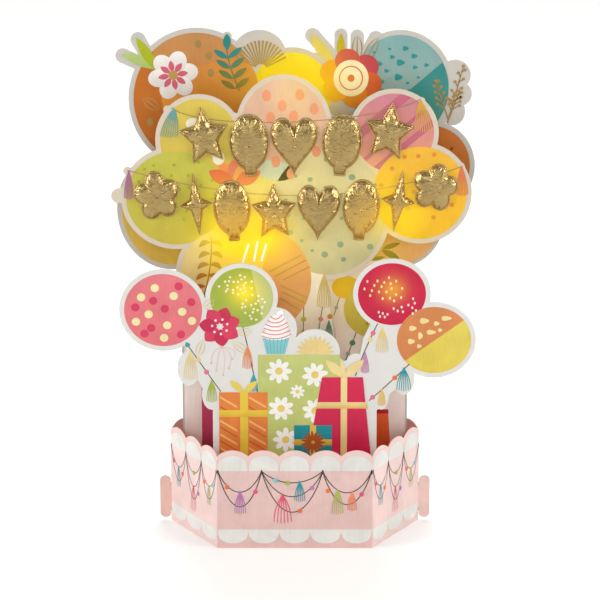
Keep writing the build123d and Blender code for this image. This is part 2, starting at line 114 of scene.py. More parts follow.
def light_up(material, shader, place, colour, lamps, lamplight="#F6D60A"):
    """Tint a colour towards lamplight and let it shine, by the lamps' glow; pale inks take less tint. With no
    lamps the colour stays plain."""
    if not lamps:
        join(material, colour, shader, "Base Color")
        return
    glow = lamp_glow(material, place, lamps)
    warm = (*linear(lamplight), 1)
    parts = add(material, "ShaderNodeSeparateColor", {0: colour})
    taken = add(material, "ShaderNodeMapRange", {0: parts.outputs[2], 1: 0.5, 2: 0.85, 3: 0.88, 4: 0.3})
    tint = times(material, glow, taken.outputs[0])
    lit = add(material, "ShaderNodeMix", {0: tint, 6: colour, 7: warm}, data_type="RGBA")
    join(material, lit.outputs[2], shader, "Base Color")
    join(material, lit.outputs[2], shader, "Emission Color")
    join(material, times(material, glow, 0.3), shader, "Emission Strength")


def mottled(material, place, colour, scale, detail, darkest):
    """A colour that varies over soft noise, from its darkest share up to the full colour."""
    noise = add(material, "ShaderNodeTexNoise", {"Vector": place, "Scale": scale, "Detail": detail})
    tone = add(material, "ShaderNodeMapRange", {0: noise.outputs[0], 1: 0.3, 2: 0.7, 3: darkest, 4: 1.0})
    return add(material, "ShaderNodeVectorMath", {0: tuple(linear(colour)), "Scale": tone.outputs[0]},
               operation="SCALE").outputs[0]


def bare_card(name, colour, lamps=()):
    """Coated card: nearly smooth, with the faint fibre mottle of the board under its coating."""
    material, shader, place = new_material(name)
    light_up(material, shader, place, mottled(material, place, colour, 160, 5, 0.95), lamps)
    shader.inputs["Roughness"].default_value = 0.55
    tooth(material, place, shader, 0.35, 0.006)
    return material


def printed_ink(name, lamps=()):
    """Offset ink on coated card: washy tone, brush streaks up the card, gilt where the attribute says so.
    The streaks are drawn coarser than the printed ones, which are too fine to show."""
    material, shader, place = new_material(name)
    ink = add(material, "ShaderNodeAttribute", attribute_name="ink")
    gilt = add(material, "ShaderNodeAttribute", attribute_name="gilt")
    wash = add(material, "ShaderNodeTexNoise", {"Vector": place, "Scale": 90, "Detail": 4, "Distortion": 0.6})
    wash_tone = add(material, "ShaderNodeMapRange", {0: wash.outputs[0], 1: 0.35, 2: 0.65, 3: 0.94, 4: 1.04})
    brush = add(material, "ShaderNodeMapping", {0: place, 3: (1.0, 1.0, 0.08)})
    streak = add(material, "ShaderNodeTexNoise", {"Vector": brush.outputs[0], "Scale": 1900, "Detail": 2})
    streak_tone = add(material, "ShaderNodeMapRange",
                      {0: streak.outputs[0], 1: 0.35, 2: 0.65, 3: 0.975, 4: 1.02})
    both = times(material, wash_tone.outputs[0], streak_tone.outputs[0])
    mixed = add(material, "ShaderNodeVectorMath", {0: ink.outputs["Color"], "Scale": both}, operation="SCALE")
    light_up(material, shader, place, mixed.outputs[0], lamps)
    join(material, gilt.outputs["Fac"], shader, "Metallic")
    shader.inputs["Specular IOR Level"].default_value = 0.3
    rough = add(material, "ShaderNodeMapRange", {0: gilt.outputs["Fac"], 1: 0.0, 2: 1.0, 3: 0.5, 4: 0.38})
    join(material, rough.outputs[0], shader, "Roughness")
    tooth(material, place, shader, 0.35, 0.005)
    return material


def oval(x, z, across, up, turn=0.0, rings=3, rim=40, lobes=0, depth=0.0):
    """Oval: p(r, t) = centre + turned(across r k cos t, up r k sin t), with k = 1 + depth cos(lobes t)."""
    r, t = np.meshgrid(np.linspace(0, 1, rings + 1), np.linspace(0, 2 * np.pi, rim + 1), indexing="ij")
    k = 1 + depth * np.cos(lobes * t)
    a, b = across * r * k * np.cos(t), up * r * k * np.sin(t)
    c, s = np.cos(np.radians(turn)), np.sin(np.radians(turn))
    return np.stack([x + a * c - b * s, z + a * s + b * c], axis=-1)


def dots(centres, size, tall=1.0):
    """A small oval at each centre."""
    return [oval(x, z, size, size * tall, rings=1, rim=14) for x, z in centres]


def scatter(seed, number, gap, centre, spread):
    """Random points in a disc of radius 1, each at least a gap from the others: p = centre + spread point."""
    kept = []
    for point in np.random.default_rng(seed).uniform(-1, 1, (900, 2)):
        clear = all(np.linalg.norm(point - other) > gap for other in kept)
        if point @ point < 1 and clear and len(kept) < number:
            kept.append(point)
    return np.array(centre) + np.array(kept) * spread


def strip(points, width, end=None, steps=18):
    """Line: c(t) is the polynomial through the points, p(t, s) = c(t) + s w(t) n(t), w from width to end."""
    points = np.array(points, float)
    own = np.linspace(0, 1, len(points))
    t = np.linspace(0, 1, steps + 1)
    fit = [np.polyfit(own, points[:, k], len(points) - 1) for k in (0, 1)]
    c = np.stack([np.polyval(f, t) for f in fit], axis=-1)
    d = np.stack([np.polyval(np.polyder(f), t) for f in fit], axis=-1)
    n = np.stack([-d[:, 1], d[:, 0]], axis=-1) / np.linalg.norm(d, axis=1)[:, None]
    w = np.linspace(width, width if end is None else end, steps + 1) / 2
    s = np.array([-1.0, 1.0])
    return c[:, None] + s[None, :, None] * (w[:, None] * n)[:, None]


def leaf(root, tip, width, bow=0.0, steps=14):
    """Leaf: p(t, s) = root + t run + (s width/2 + bow) sin(pi t) n, run going to the tip and n across it."""
    root, tip = np.array(root, float), np.array(tip, float)
    run = tip - root
    n = np.array([-run[1], run[0]]) / np.linalg.norm(run)
    t, s = np.meshgrid(np.linspace(0, 1, steps + 1), np.linspace(-1, 1, 3), indexing="ij")
    off = (s * width / 2 + bow) * np.sin(np.pi * t) ** 0.8
    return root + t[..., None] * run + off[..., None] * n


def block(a, b, c, d, steps=(6, 10)):
    """Four-cornered field: p(u, v) blends the corners a to b along the bottom and d to c along the top."""
    u, v = np.meshgrid(np.linspace(0, 1, steps[0]), np.linspace(0, 1, steps[1]), indexing="ij")
    u, v = u[..., None], v[..., None]
    a, b, c, d = (np.array(p, float) for p in (a, b, c, d))
    return (1 - u) * (1 - v) * a + u * (1 - v) * b + u * v * c + (1 - u) * v * d


def box(left, right, bottom, top):
    """Upright rectangle."""
    return block((left, bottom), (right, bottom), (right, top), (left, top))


def band(x, z, across, up, low, high, turn=0.0, steps=12):
    """Part of an oval: p(w, s) = (w, s sqrt(1 - w^2)), turned and stretched, w from low to high."""
    w, s = np.meshgrid(np.sin(np.linspace(np.arcsin(low), np.arcsin(high), steps)), np.linspace(-1, 1, 15),
                       indexing="ij")
    h = s * np.sqrt(np.clip(1 - w * w, 0, None))
    c, q = np.cos(np.radians(turn)), np.sin(np.radians(turn))
    return np.stack([x + across * (w * c - h * q), z + up * (w * q + h * c)], axis=-1)


def lobe(left, right, flat, shoulder, peak, steps=16):
    """Scallop: p(u, v) from the flat line to shoulder + (peak - shoulder) sqrt(1 - u^2), u across it."""
    u, v = np.meshgrid(np.linspace(-1, 1, steps + 1), np.linspace(0, 1, 4), indexing="ij")
    edge = shoulder + (peak - shoulder) * np.sqrt(np.clip(1 - u * u, 0, None))
    return np.stack([(left + right) / 2 + u * (right - left) / 2, flat + v * (edge - flat)], axis=-1)


def lay(ink, layer, colours, patches, gilt=0.0):
    """Add patches of one ink: one colour, or a top and a bottom colour, at a layer of the print."""
    top, bottom = colours if isinstance(colours, tuple) else (colours, colours)
    patches = patches if isinstance(patches, list) else [patches]
    ink.extend((patch, linear(top), linear(bottom), layer, gilt) for patch in patches)


def grid_faces(shape):
    """Four-cornered faces between the points of a grid that is numbered row by row."""
    index = np.arange(shape[0] * shape[1]).reshape(shape)
    return np.stack([index[:-1, :-1], index[1:, :-1], index[1:, 1:], index[:-1, 1:]], -1).reshape(-1, 4)


def stand(name, data):
    """Put an object with this data in the scene."""
    made = bpy.data.objects.new(name, data)
    bpy.context.scene.collection.objects.link(made)
    return made


def print_card(name, ink, origin, along, material, lift=0.03):
    """Lay the inks on a card: p = origin + a along + b up + layer lift out, millimetres turned to metres.
    Patches of one layer step out by quarters of the lift, so that neighbours don't lie in one plane."""
    along = np.array(along, float) / np.linalg.norm(along)
    out = np.cross(along, (0, 0, 1))
    points, faces, inks, gilts, start, used = [], [], [], [], 0, {}
    for patch, top, bottom, level, gilt in ink:
        used[level] = used.get(level, -1) + 1
        layer = level + used[level] % 4 / 4
        a, b = patch[..., 0].ravel(), patch[..., 1].ravel()
        share = ((b - b.min()) / max(np.ptp(b), 1e-6))[:, None]
        points.append(np.array(origin) + a[:, None] * along + b[:, None] * (0, 0, 1) + lift * layer * out)
        inks.append(np.hstack([bottom + share * (top - bottom), np.ones((len(b), 1))]))
        gilts.append(np.full(len(b), gilt))
        quads = grid_faces(patch.shape[:2])
        x, y = a[quads], b[quads]
        area = (x * np.roll(y, -1, 1) - y * np.roll(x, -1, 1)).sum(1)
        quads[area < 0] = quads[area < 0][:, ::-1]
        faces.append(quads[np.abs(area) > 1e-9] + start)
        start += len(b)
    mesh = bpy.data.meshes.new(name)
    mesh.from_pydata(np.vstack(points) / 1000, [], np.vstack(faces).tolist())
    mesh.attributes.new("ink", "FLOAT_COLOR", "POINT").data.foreach_set("color", np.vstack(inks).ravel())
    mesh.attributes.new("gilt", "FLOAT", "POINT").data.foreach_set("value", np.concatenate(gilts))
    close_up(mesh)
    mesh.materials.append(material)
    piece = stand(name, mesh)
    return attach(piece, "card")


def close_up(mesh, solid=False):
    """Merge the doubled points at seams and poles; a solid's faces are then turned outwards."""
    made = bmesh.new()
    made.from_mesh(mesh)
    bmesh.ops.remove_doubles(made, verts=made.verts, dist=2e-7)
    if solid:
        bmesh.ops.recalc_face_normals(made, faces=made.faces)
    made.to_mesh(mesh)
    made.free()


def tassel(ink, layer, colour, x, z, length, spread, strands=6, lean=0.0, width=0.45):
    """Tassel: a knot with thin strands that spread to the bottom."""
    ends = np.linspace(-spread, spread, strands)
    lay(ink, layer, colour, [strip([(x, z), (x + 0.75 * e + lean / 2, z - 0.45 * length),
                                    (x + e + lean, z - length * (1 - 0.06 * abs(e) / spread))],
                                   width, 0.7 * width, 8) for e in ends])
    lay(ink, layer + 1, colour, leaf((x, z + 0.6), (x + lean / 4, z - 0.22 * length), 0.2 * spread + 0.6))


front_scallops, side_scallops, pitch = 5, 3, 13.6
side_turn = np.radians(58.5)
depth, half_card, half_panel = 34.787, 0.2, front_scallops * pitch / 2
half_span = half_panel + side_scallops * pitch * np.cos(side_turn)
corners = [(-half_panel, 0), (half_panel, 0), (half_span, depth), (half_panel, 2 * depth),
           (-half_panel, 2 * depth), (-half_span, depth)]
pink, white, cord = ("#E0C0BA", "#DEB8B1"), "#DFDDD7", "#4E403D"
# The side panels get a paler pink than the front and back panels: painted light from the sides.
lit_side_pink = ("#EACFC9", "#E7C8C2")
hues = {"orange": "#E8703A", "rose": "#DE5A74", "sky": "#7FC6CF", "leaf": "#A4B23A", "mauve": "#B878AE",
        "teal": "#2E97A2", "red": "#E0506C", "olive": "#B3B85A", "coral": "#EE8A62"}

sleeve_ink = printed_ink("offset printed coated card")
base = nodes["base_sleeve"]
coat(base, bare_card("pink printed card", "#EBCBC4"), bare_card("coral printed card", "#FBAFAA"))
centre_of = np.zeros(len(base.data.polygons) * 3)
normal_of = np.zeros(len(base.data.polygons) * 3)
base.data.polygons.foreach_get("center", centre_of)
base.data.polygons.foreach_get("normal", normal_of)
away = (centre_of.reshape(-1, 3) - (0, depth / 1000, 0))[:, :2]
inward = (away * normal_of.reshape(-1, 3)[:, :2]).sum(1) < -1e-6
base.data.polygons.foreach_set("material_index", inward.astype(int))


# Garland of each kind of panel: the strings' ends and lowest heights, the beads, the tassels
string_height, field_top, margin = 36.2, 36.6, 0.1
garlands = {
    front_scallops: (
        [((-33.7, -14.5), (26.4, 19.6)), ((-14.5, 12.3), (30.8, 24.3, 17.0)), ((12.3, 33.7), (26.1, 20.6))],
        [("orange", -29.7, 28.8), ("rose", -17.2, 26.6), ("sky", -8.4, 31.9), ("leaf", -3.1, 30.7),
         ("mauve", 7.6, 28.4), ("orange", 2.3, 17.6), ("orange", 14.6, 27.0), ("rose", 29.4, 25.4)],
        [("mauve", -24.0, 26.6, 10.6, 2.4), ("red", -5.3, 25.2, 13.6, 3.8), ("teal", 2.2, 31.2, 9.4, 2.2),
         ("olive", 18.8, 27.4, 11.6, 2.4), ("coral", 25.2, 26.6, 9.0, 1.9)]),
    side_scallops: (
        [((-20.0, -6.8), (27.5, 21.0)), ((-6.8, 6.8), (29.0, 22.5, 16.5)), ((6.8, 20.0), (27.0, 21.0))],
        [("rose", -17.6, 29.4), ("orange", -10.0, 25.2), ("leaf", 0.4, 29.0), ("mauve", 4.0, 20.4),
         ("orange", 9.4, 27.8), ("sky", 17.4, 28.2)],
        [("teal", -13.4, 27.6, 9.6, 1.7), ("red", -0.4, 22.6, 12.0, 2.2), ("olive", 13.4, 27.2, 9.4, 1.7)]),
}
for side in range(len(corners)):
    is_long = side % 3 == 0
    count = front_scallops if is_long else side_scallops
    swags, beads, tassels = garlands[count]
    half = count * pitch / 2
    ink = []
    # The side panels' paler pink is painted light.
    lay(ink, 1, pink if is_long else lit_side_pink, box(-half + margin, half - margin, 0.3, field_top))
    lay(ink, 2, white, box(-half + margin, half - margin, 7.2, 8.9))
    for n in range(count):
        left = -half + n * pitch
        lay(ink, 2, white, lobe(left + 0.35, left + pitch - 0.35, 36.3, 38.6, 43.4))
        lay(ink, 3, white, lobe(left + 0.2, left + pitch - 0.2, 8.0, 6.6, 2.3))
    # A string hangs from its two ends; a fifth of the way along it has 0.69 of its dip
    for (start, end), lows in swags:
        for low in lows:
            fifth, near_end = 0.2 * (end - start), string_height - 0.69 * (36.0 - low)
            lay(ink, 3, cord, strip([(start, string_height), (start + fifth, near_end),
                                     ((start + end) / 2, low), (end - fifth, near_end), (end, string_height)],
                                    0.42 if is_long else 0.3, steps=26))
    for start in sorted({x for ends, _ in swags for x in ends}):
        lay(ink, 3, cord, leaf((start, 37.0), (start, 34.6), 0.9))
    for hue, x, z in beads:
        lay(ink, 5, hues[hue], oval(x, z, 1.05, 1.05, rings=1, rim=18))
    for hue, x, z, length, spread in tassels:
        tassel(ink, 4, hues[hue], x, z, length, spread, count + 1, width=0.45 if is_long else 0.3)
    a, b = np.array(corners[side]), np.array(corners[(side + 1) % len(corners)])
    along = np.array([*(b - a), 0.0]) / np.linalg.norm(b - a)
    out = np.cross(along, (0, 0, 1))
    middle = np.array([*(a + b) / 2, 0]) + half_card * out
    panel = print_card(f"sleeve_print_{side + 1}", ink, middle, along, sleeve_ink)


# Rear cloud
# The tallest die-cut sheet of coated card, with the wide stem that locks into the sleeve's side slits.
# Its balloons are printed as washes of colour; the cream disc marks where the button is pressed.
def around(centre, reach, turn):
    """Point on a circle or an oval: p = centre + reach (cos turn, sin turn), the turn in radians."""
    x, z = np.add(centre, np.multiply(reach, (np.cos(turn), np.sin(turn))))
    return x, z


# Each lamp's glow: its place across and up the card, its reach and its strength
rear_lamps = [(1.0, 197.0, 18.5, 0.9), (-19.4, 134.5, 22.0, 0.7), (36.0, 132.0, 15.0, 0.4),
              (8.0, 110.0, 30.0, 0.4)]
# The rear sheet's bare card is a greyer white than the front sheet's: painted shade behind the sheets in
# front of it.
coat(nodes["rear_cloud"], bare_card("white coated card, rear, painted shade", "#C6C0B6", rear_lamps))
rear = []

# Stem and locking tabs
stem_half, pink_reflection_top, tab_low, tab_high = 49.2, 62.0, 3.6, 18.8
# The stem is plain card. Its printed field, far paler than the card's border, is painted light, and it turns
# pink towards the bottom: a painted pink reflection from the sleeve's inside.
lay(rear, 1, ("#F4E6D4", "#F8E6DE"), box(-stem_half, stem_half, pink_reflection_top, 132.0))
lay(rear, 1, ("#F8E6DE", "#FAD6CA"), box(-stem_half, stem_half, 3.0, pink_reflection_top))
# The left tab is printed darker than the right one: painted shade.
for side, tone in ((-1, "#EABFB2"), (1, "#F4D0C6")):
    tab, neck = 58.15 * side, 55.4 * side
    lay(rear, 1, tone, [box(tab - 2.25, tab + 2.25, tab_low, tab_high),
                        block((neck, 6.0), (tab, 6.0), (tab, 16.4), (neck, 16.4)),
                        oval(tab, tab_low, 2.2, 2.1), oval(tab, tab_high, 2.2, 2.1)])

# Balloons with their flecks
lay(rear, 1, ("#EFDA22", "#EFCB18"), oval(-1.2, 198.4, 17.3, 17.8, rings=4))
lay(rear, 2, ("#CE7E38", "#DE9A2E"), oval(-42.4, 195.3, 27.5, 29.5, rings=5, rim=64))
lay(rear, 3, ("#C28A50", "#C47C3A"), band(-42.4, 195.3, 27.4, 29.4, 0.45, 1.0, 108))
lay(rear, 3, ("#C06A1A", "#BC681A"), band(-42.4, 195.3, 27.4, 29.4, 0.55, 1.0, 190))
lay(rear, 2, ("#7FAAA8", "#A4AE98"), oval(45.6, 200.2, 21.2, 23.6, rings=5, rim=64))
lay(rear, 3, ("#2F8A86", "#4E8E78"), band(45.6, 200.2, 21.1, 23.5, 0.15, 1.0, -52))
lay(rear, 3, ("#C9742A", "#C26C28"), oval(59.9, 165.2, 16.6, 18.1, rings=4))
lay(rear, 3, ("#DDB83A", "#D8B04A"), oval(-53.8, 145.7, 21.9, 25.5, rings=4, rim=52))
lay(rear, 3, ("#F2AE60", "#F2B270"), oval(45.3, 140.6, 18.6, 20.2, rings=4))
lay(rear, 3, "#ECB822", oval(22.6, 109.8, 6.2, 5.2))
lay(rear, 4, ("#D6C056", "#C8B44A"), oval(35.3, 99.6, 13.6, 13.4, rings=4))
lay(rear, 5, "#BE7A22", dots(scatter(4, 16, 0.24, (35.3, 99.0), (11, 11)), 0.5, 1.7))
lay(rear, 5, "#8E3F16", dots(scatter(6, 16, 0.24, (59.9, 165.2), (13, 14)), 0.7))
lay(rear, 4, "#2E8E8A", [oval(x, z, r, 0.8 * r, lobes=3, depth=0.14) for (x, z), r in
                         zip(scatter(3, 24, 0.3, (43.0, 207.5), (15, 12)), np.tile([1.7, 1.0, 1.3, 0.7], 6))])
lay(rear, 4, "#A8884C", dots([(-41.6, 219.8), (-37.2, 214.5), (-36.3, 207.0), (-62.9, 185.2), (-50.6, 177.0)],
                            1.4, 1.3), 0.5)

# White flower with its leaves, and the sprig beside it
lay(rear, 4, "#B8935A", [leaf((-66.0, 196.0), (-58.6, 190.4), 0.5, w) for w in (2.0, -2.0, 0.0)], 0.8)
lay(rear, 4, ("#B0B81A", "#9CAA10"), leaf((-59.0, 207.6), (-68.4, 222.6), 4.4))
lay(rear, 4, ("#B4C678", "#A2B860"), leaf((-59.0, 208.6), (-75.0, 215.2), 4.6, -0.6))
white_flower = (-52.6, 206.0)
for turn in np.arange(12, 360, 60):
    lay(rear, 5, ("#EFEAE2", "#DDD4CA"), oval(*around(white_flower, 6.3, np.radians(turn)), 4.7, 4.0, turn,
                                              rings=2, rim=24))
for turn in np.radians(np.arange(10, 360, 45)):
    lay(rear, 6, "#CE5D70", leaf(around(white_flower, 1.5, turn), around(white_flower, 6.6, turn), 2.5))
lay(rear, 7, "#C6A05C", oval(*white_flower, 2.1, 2.1, rings=1, rim=20), 0.8)
sprig = [(-29.2, 220.0), (-28.4, 212.0), (-24.0, 199.0)]
lay(rear, 4, ("#2E8078", "#6F6F2C"), strip(sprig, 0.55))
lay(rear, 4, "#128078", leaf((-29.2, 217.0), (-29.2, 224.4), 3.4))
for n in range(4):
    x, z = -28.9 + 1.0 * n, 215.6 - 4.5 * n
    tone = ("#15827A", "#3A7A5C", "#5E7440", "#74702C")[n]
    lay(rear, 5, tone, [leaf((x, z - 2.2), tip, 2.5) for tip in ((x + 6.2, z + 2.8), (x - 6.0, z + 1.6))])

# Fan, long leaves and the flower whose disc marks the button
fan = (-14.6, 208.4)
lay(rear, 3, "#AC8A50", [strip([around(fan, 2.6, q), around(fan, (12.0, 13.0), q)], 0.3, 0.95, 4)
                         for q in np.radians(np.arange(26, 160, 8.5))], 0.6)
lay(rear, 3, ("#D8C65A", "#DCC45C"), leaf((17.5, 211.5), (7.2, 224.2), 5.0, 0.8))
lay(rear, 3, "#B8A40C", leaf((20.0, 211.5), (20.0, 224.6), 3.4))
for root, tip in (((27.0, 211.5), (27.0, 223.8)), ((29.6, 210.5), (36.2, 222.8))):
    lay(rear, 3, "#B08E52", [leaf(root, tip, 0.5, bow) for bow in (2.1, -2.1, 0.0)], 0.8)
disc = (24.4, 204.7)
for n, tone in enumerate(("#C23C46", "#D65A28", "#E47A16", "#EE9C0A", "#EE940C", "#CC4A3E")):
    turn = 40 - 60 * n
    lay(rear, 6, tone, oval(*around(disc, (8.4, 7.7), np.radians(turn)), 5.5, 5.5, turn, rings=2, rim=28))
lay(rear, 7, "#FBE9B4", oval(*disc, 7.6, 8.1, rings=2, rim=48))
ring = np.linspace(0, 2 * np.pi, 49)
lay(rear, 8, "#D9652C", np.array([[around(disc, (r, 1.06 * r), q) for q in ring] for r in (4.7, 5.2)]))
lay(rear, 8, "#D9652C", oval(*disc, 1.5, 1.6, rings=1, rim=24))

# Gilt twig: three stems, each with eight side shoots that get shorter towards the tip
twig = [((66.4, 184.5), (73.0, 210.0)), ((66.8, 186.0), (61.0, 203.6)), ((66.8, 186.0), (71.4, 198.6))]
for root, tip in twig[:3]:
    run = np.subtract(tip, root)
    for n in range(8):
        fork = np.array(root) + (0.3 + 0.085 * n) * run
        turn = np.arctan2(run[1], run[0]) + (0.72, -0.72)[n % 2]
        twig.append((tuple(fork), tuple(fork + (3.6 - 0.26 * n) * np.array([np.cos(turn), np.sin(turn)]))))
lay(rear, 4, "#A8864C", [strip([a, b], 0.6, 0.35, 4) for a, b in twig], 0.7)
lay(rear, 5, "#B08E52", dots([b for _, b in twig], 0.7), 0.7)

# Two gifts low on the stem, strings with beads, and the leaves between the balloons
# The purple box darkens towards the bottom: painted shade.
lay(rear, 2, ("#D4466C", "#C23C5C"), box(-41.5, -12.0, 30.0, 69.5))
lay(rear, 2, "#F2622E", block((6.0, 30.0), (43.0, 30.0), (41.6, 52.7), (6.0, 52.7)))
lay(rear, 3, "#C01A30", block((6.0, 50.8), (41.9, 50.8), (41.7, 52.7), (6.0, 52.7)))
lay(rear, 3, cord, [strip(ends, 0.4, steps=4) for ends in ([(20.0, 106.0), (14.2, 86.0)],
                                                           [(28.4, 92.0), (22.0, 74.0)])])
lay(rear, 6, "#8FA5A2", dots([(18.4, 100.4), (23.6, 79.0)], 0.9))
lay(rear, 6, "#1F7F6E", oval(25.6, 84.0, 1.3, 1.3, rings=1, rim=18))
lay(rear, 5, "#6E6A2A", [leaf((38.6, 127.6), (46.4, 130.2), 2.2), leaf((38.2, 127.0), (46.0, 123.0), 2.9),
                         leaf((33.0, 122.4), (39.6, 123.8), 1.8)])
rear_print = print_card("rear_cloud_print", rear, (0, depth - half_card, 0), (1, 0, 0),
                        printed_ink("offset print on the rear sheet", rear_lamps))


# Front cloud
# The middle die-cut sheet of coated card, with eight printed balloons and a narrower stem.
# Three small lamps sit behind it. They show as soft warm spots, with weaker ones for light that spreads.
cloud_gap = 10.3
cloud_y = depth - cloud_gap
cloud_lamps = [(-18.0, 136.0, 16.0, 1.0), (-31.0, 134.0, 12.0, 0.4), (-33.0, 147.0, 12.0, 0.4),
               (43.0, 147.0, 13.0, 0.85), (0.0, 202.0, 13.0, 0.28), (2.0, 152.0, 30.0, 0.25),
               (6.0, 102.5, 15.5, 0.28)]
# The middle sheet's bare card is a darker, warmer white than the front sheet's: painted shade behind the
# front sheet.
coat(nodes["front_cloud"], bare_card("white coated card, middle, painted shade", "#D5C7B3", cloud_lamps))
cloud = []

# Stem, the fields between the balloons, and the balloons with their patterns
stem_left, stem_right, stem_top = -33.0, 17.2, 92.0
# The stem is plain card. Its cream field, paler and yellower than the card's border and pinker towards the
# bottom, is painted warm light showing through the card.
lay(cloud, 0, ("#FAEED0", "#F4E2D4"), [box(stem_left, stem_right, 2.0, stem_top),
                                     block((stem_left, stem_top), (stem_right, stem_top), (11.6, 125.0),
                                           (stem_left, 118.0))])
lay(cloud, 1, ("#DAC252", "#CEB248"), oval(-41.3, 179.7, 16.9, 18.3, rings=4, rim=52))
lay(cloud, 0.5, ("#E2CF62", "#E4CE6C"), oval(-22.0, 162.0, 27.0, 24.0, rings=4))
lay(cloud, 0.5, ("#E8C4A0", "#E2D092"), oval(26.0, 168.0, 20.0, 20.0, rings=4))
lay(cloud, 0.5, ("#E8D27A", "#E4BC6C"), oval(-14.0, 140.0, 26.0, 20.0, rings=4))
lay(cloud, 1, ("#DEB49E", "#E2AA86"), oval(-4.6, 184.1, 19.0, 22.7, rings=4, rim=52))
lay(cloud, 1, ("#CC808C", "#E69872"), oval(42.9, 182.8, 17.3, 17.6, rings=4, rim=52))
lay(cloud, 2, ("#DCCE98", "#C2BA8C"), oval(14.5, 147.3, 25.2, 28.5, rings=5, rim=64))
lay(cloud, 2, ("#BFBB48", "#C6B440"), oval(-51.6, 153.6, 21.7, 21.0, rings=4, rim=52))
lay(cloud, 3, ("#F2B838", "#F2B81C"), oval(54.4, 155.9, 20.4, 20.8, rings=4, rim=52))
lay(cloud, 2, ("#E2CC84", "#E0BE80"), oval(-30.1, 119.9, 19.7, 19.7, rings=4, rim=52))
lay(cloud, 3, ("#F0CC50", "#E8BC84"), oval(-16.1, 116.3, 23.4, 24.3, rings=5, rim=64))
lay(cloud, 4, ("#E6A058", "#E0836C"), band(-16.1, 116.3, 23.3, 24.2, 0.0, 1.0, -20))
bloom = (-26.0, 160.0)
for n, tone in enumerate(("#E0603C", "#EE8A4A", "#E2705A", "#F0A050", "#E46848")):
    lay(cloud, 2, tone, leaf(bloom, around(bloom, (13.0, 11.6), np.radians(150 - 30 * n)), 6.4))
lay(cloud, 2, ("#C4CBB0", "#C9D0A8"), oval(-8.6, 166.0, 8.4, 4.6, -8))
lay(cloud, 3, "#E88C70", dots([(-12.0, 199.4), (-5.4, 195.0), (2.2, 199.8), (8.4, 193.6), (-0.4, 190.4),
                               (-10.4, 189.6), (7.0, 184.6), (-16.6, 183.6), (-8.2, 170.0), (9.4, 174.6),
                               (-1.6, 164.6)], 1.9, 1.35))
lay(cloud, 2, ("#C4667C", "#C86E74"), [band(42.9, 182.8, 17.2, 17.5, low, high, 130)
                                       for low, high in ((-0.5, -0.34), (-0.1, 0.0), (0.42, 0.66))])
lay(cloud, 3, "#789A80", [oval(x, z, r, 1.2 * r, lobes=2, depth=0.12, rings=1, rim=16) for (x, z), r in
                          zip(scatter(8, 27, 0.24, (15.0, 147.0), (23, 26)), np.tile([1.0, 0.7, 1.3], 9))])
lay(cloud, 3, "#9AAA34", dots(scatter(11, 24, 0.2, (-52.0, 158.0), (18, 15)), 0.7))
lay(cloud, 4, "#E08A34", dots(scatter(12, 16, 0.3, (54.6, 158.0), (17, 17)), 1.0))
lay(cloud, 3, "#F2E8CC", [oval(-44.0, 187.0, 3.0, 2.6), oval(-33.0, 171.6, 2.6, 3.0)])
lay(cloud, 5, "#BC9448", [strip(ends, 0.65, steps=6) for ends in (
    [(-10.8, 120.3), (2.9, 127.8)], [(-8.6, 118.1), (5.0, 125.5)], [(-5.3, 116.3), (6.5, 122.5)],
    [(-6.4, 114.0), (5.6, 108.1)], [(-5.4, 110.8), (4.9, 105.6)], [(-6.5, 108.1), (2.3, 102.4)])], 0.7)
lay(cloud, 5, "#FFFDF4", [strip(ends, 0.9, steps=4) for ends in (
    [(-22.8, 124.3), (-20.1, 132.9)], [(-17.9, 124.9), (-16.2, 134.0)], [(-14.6, 124.9), (-12.4, 132.9)])])

# Sprig on the low balloon: a curved stalk with six pairs of leaves
lay(cloud, 4, "#A8742C", strip([(-36.4, 136.0), (-37.2, 121.0), (-40.6, 107.0)], 0.5), 0.5)
for n in range(6):
    z = 133.4 - 5.0 * n
    x = -36.5 - 0.0048 * (136.0 - z) ** 2
    tone = ("#B08A48", "#B08A48", "#B4843C", "#BC7426", "#C46A1E", "#C4661C")[n]
    lay(cloud, 5, tone, [leaf((x, z), (x + 5.2 * way, z - 2.2), 2.3, 1.2 * way) for way in (1, -1)], 0.35)

# Two strings behind the foil pieces, each with a tassel at both ends, and the strings on the stem
lay(cloud, 4, "#A8845C", [strip(points, 0.4, steps=40) for points in (
    [(-53.0, 194.0), (-24.0, 187.8), (20.0, 189.4), (54.2, 197.8)],
    [(-72.6, 166.2), (-30.0, 157.0), (20.0, 155.6), (72.6, 168.0)])])
tassel(cloud, 5, "#5FA0A0", -52.0, 193.6, 13.0, 3.6, 8, -2.4)
tassel(cloud, 5, "#E0A840", 54.2, 197.2, 14.0, 3.4, 8, 1.6)
tassel(cloud, 5, "#A8688C", -71.9, 165.8, 13.0, 1.9, 7, -0.2)
tassel(cloud, 5, "#DE7A4C", 72.2, 167.8, 13.4, 2.4, 8, 0.6)
lay(cloud, 3, cord, [strip(ends, 0.4, steps=4) for ends in ([(4.0, 105.6), (3.6, 86.0)],
                                                            [(12.2, 104.0), (9.4, 86.0)])])
for tone, x, z, size in (("#A8A83C", 3.9, 98.3, 1.2), ("#D4707C", 11.4, 98.4, 1.1),
                         ("#CC3A3C", 10.2, 92.8, 1.1), ("#D8621E", 15.5, 99.6, 1.2)):
    lay(cloud, 5, tone, oval(x, z, size, size, rings=1, rim=18))
tassel(cloud, 4, "#A8742E", 3.7, 93.4, 7.0, 1.4)
tassel(cloud, 4, "#2C7A74", 15.0, 97.4, 8.0, 1.5)
tassel(cloud, 4, "#C9AC68", 12.8, 118.6, 15.4, 2.9, 8)
cloud_print = print_card("front_cloud_print", cloud, (0, cloud_y - half_card, 0), (1, 0, 0),
                         printed_ink("offset print on the middle sheet", cloud_lamps))


